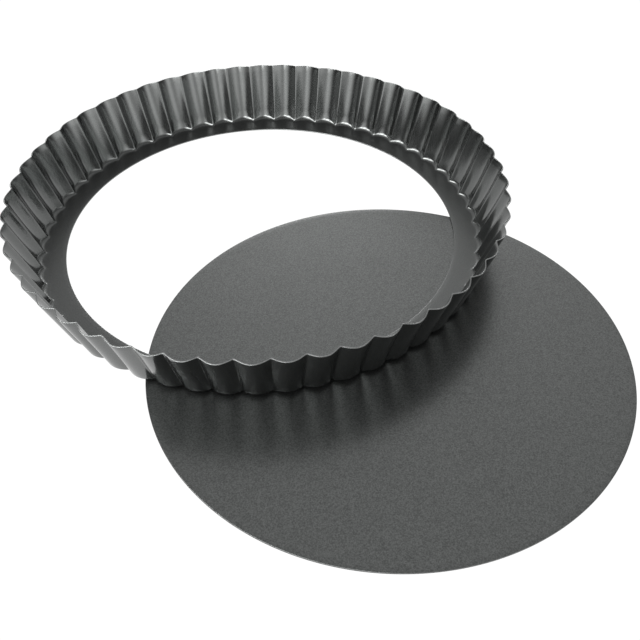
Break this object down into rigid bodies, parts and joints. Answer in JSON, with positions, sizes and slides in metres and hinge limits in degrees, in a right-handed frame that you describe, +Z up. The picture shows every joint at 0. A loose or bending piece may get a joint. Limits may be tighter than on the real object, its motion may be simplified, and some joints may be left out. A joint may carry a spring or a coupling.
{
  "type": "tart pan",
  "caption": "Loose-base tart pan laid out unassembled: a fluted, flaring ring with a narrow inward ledge, and the flat round base plate that drops onto that ledge.",
  "frame": {"origin": "middle of the base plate's underside, which lies flat on the table", "axes": "+Z up; +Y from the middle of the base plate towards the middle of the fluted ring; +X to the right when looking along +Y"},
  "size_m": [0.2298, 0.3127, 0.0301],
  "materials": {
    "ring_coating": "semi-gloss dark grey non-stick coating on pressed steel sheet, slightly brighter along cut edges and creases",
    "plate_coating": "satin dark grey non-stick coating with a fine grain on flat steel sheet"
  },
  "bodies": {
    "base": {"base_plate": "plate_coating"},
    "ring": {"fluted_ring": "ring_coating"}
  },
  "joints": [
    {"name": "ring_slide", "type": "slide", "parent": "base", "child": "ring", "axis": [0, 1, 0], "range_m": [-0.0992, 0.115]}
  ]
}
